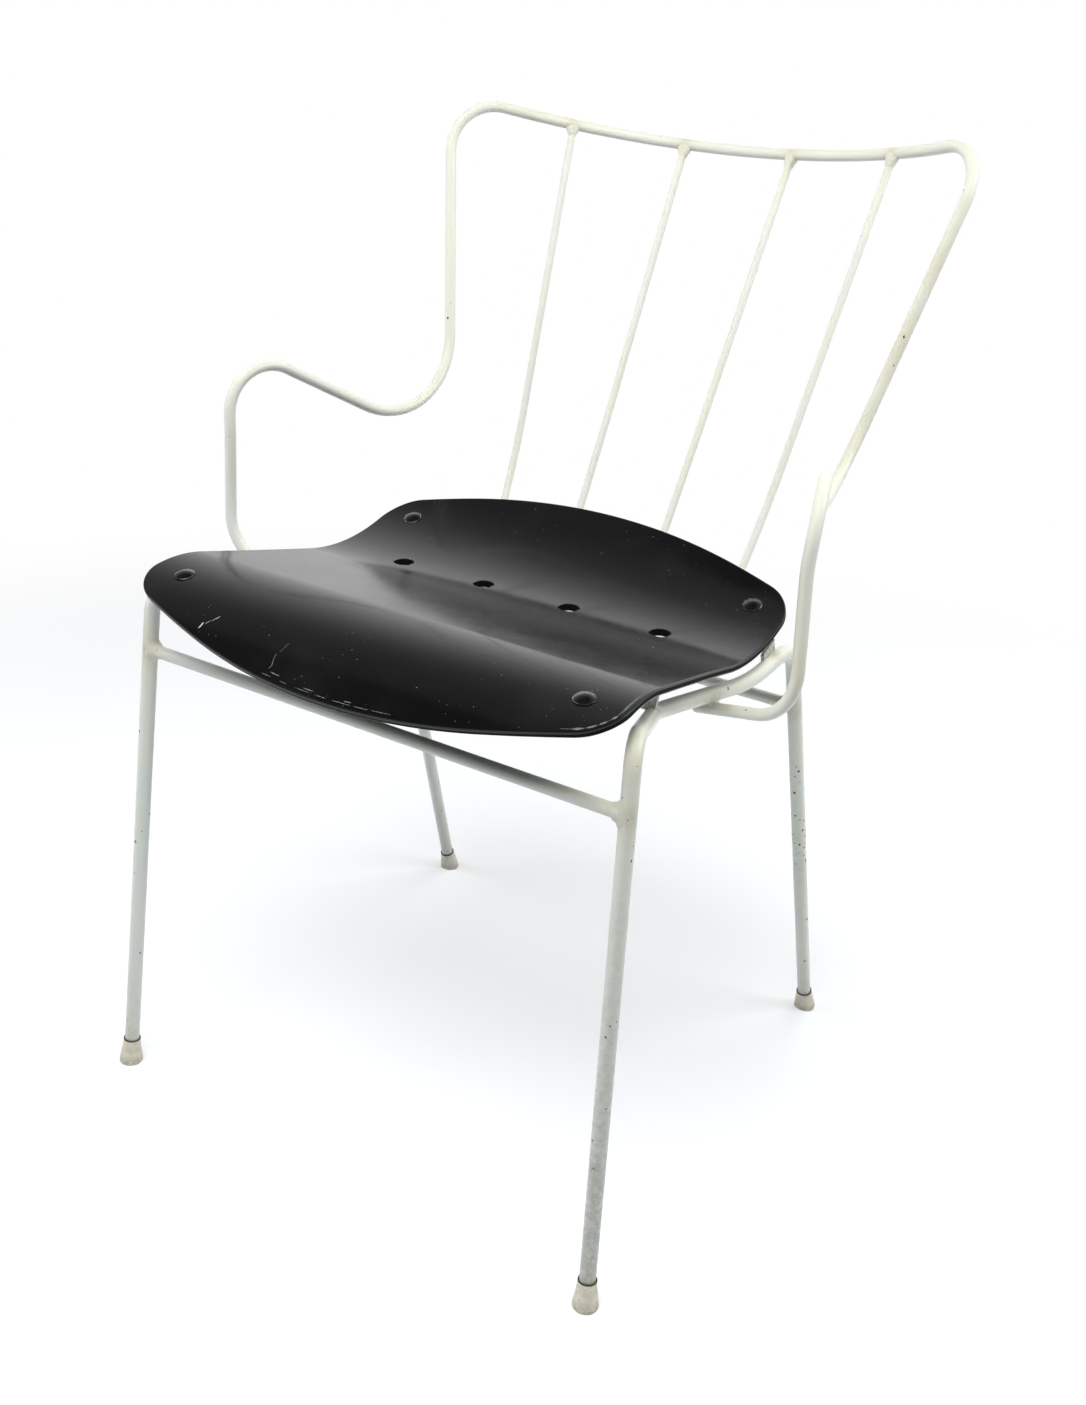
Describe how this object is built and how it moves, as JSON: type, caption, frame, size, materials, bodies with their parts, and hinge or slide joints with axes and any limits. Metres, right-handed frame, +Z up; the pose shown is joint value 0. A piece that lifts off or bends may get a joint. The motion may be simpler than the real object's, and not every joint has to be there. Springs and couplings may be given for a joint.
{
  "type": "metal rod armchair",
  "caption": "Light patio armchair of bent steel rod with looped arms, a flared spindle back, a moulded plywood seat and rubber foot caps.",
  "frame": {"origin": "centre of the bounding box at floor level", "axes": "+Z up, the chair faces -Y, +X to the sitter's left"},
  "size_m": [0.528, 0.575, 0.7893],
  "materials": {
    "frame_enamel": "gloss enamel, aged off-white",
    "seat_gloss": "gloss black paint on moulded plywood",
    "bolt_black": "gloss black",
    "zinc": "dull zinc",
    "cap_rubber": "matte, off-white"
  },
  "bodies": {
    "root": {"side_frame_left": "frame_enamel", "side_frame_right": "frame_enamel", "front_crossbar": "frame_enamel", "rear_crossbar": "frame_enamel", "arm_back_rod": "frame_enamel", "spindle_outer_left": "frame_enamel", "spindle_inner_left": "frame_enamel", "spindle_inner_right": "frame_enamel", "spindle_outer_right": "frame_enamel", "seat_shell": "seat_gloss", "seat_lug_front_left": "frame_enamel", "seat_lug_front_right": "frame_enamel", "seat_lug_rear_left": "frame_enamel", "seat_lug_rear_right": "frame_enamel", "seat_bolt_front_left": "bolt_black", "seat_bolt_front_right": "bolt_black", "seat_bolt_rear_left": "bolt_black", "seat_bolt_rear_right": "bolt_black", "seat_washers": "zinc", "seat_nuts": "zinc", "foot_cap_front_left": "cap_rubber", "foot_cap_front_right": "cap_rubber", "foot_cap_rear_left": "cap_rubber", "foot_cap_rear_right": "cap_rubber", "spindle_top_welds": "frame_enamel", "spindle_foot_welds": "frame_enamel", "crossbar_welds": "frame_enamel", "arm_loop_welds": "frame_enamel"}
  },
  "joints": []
}
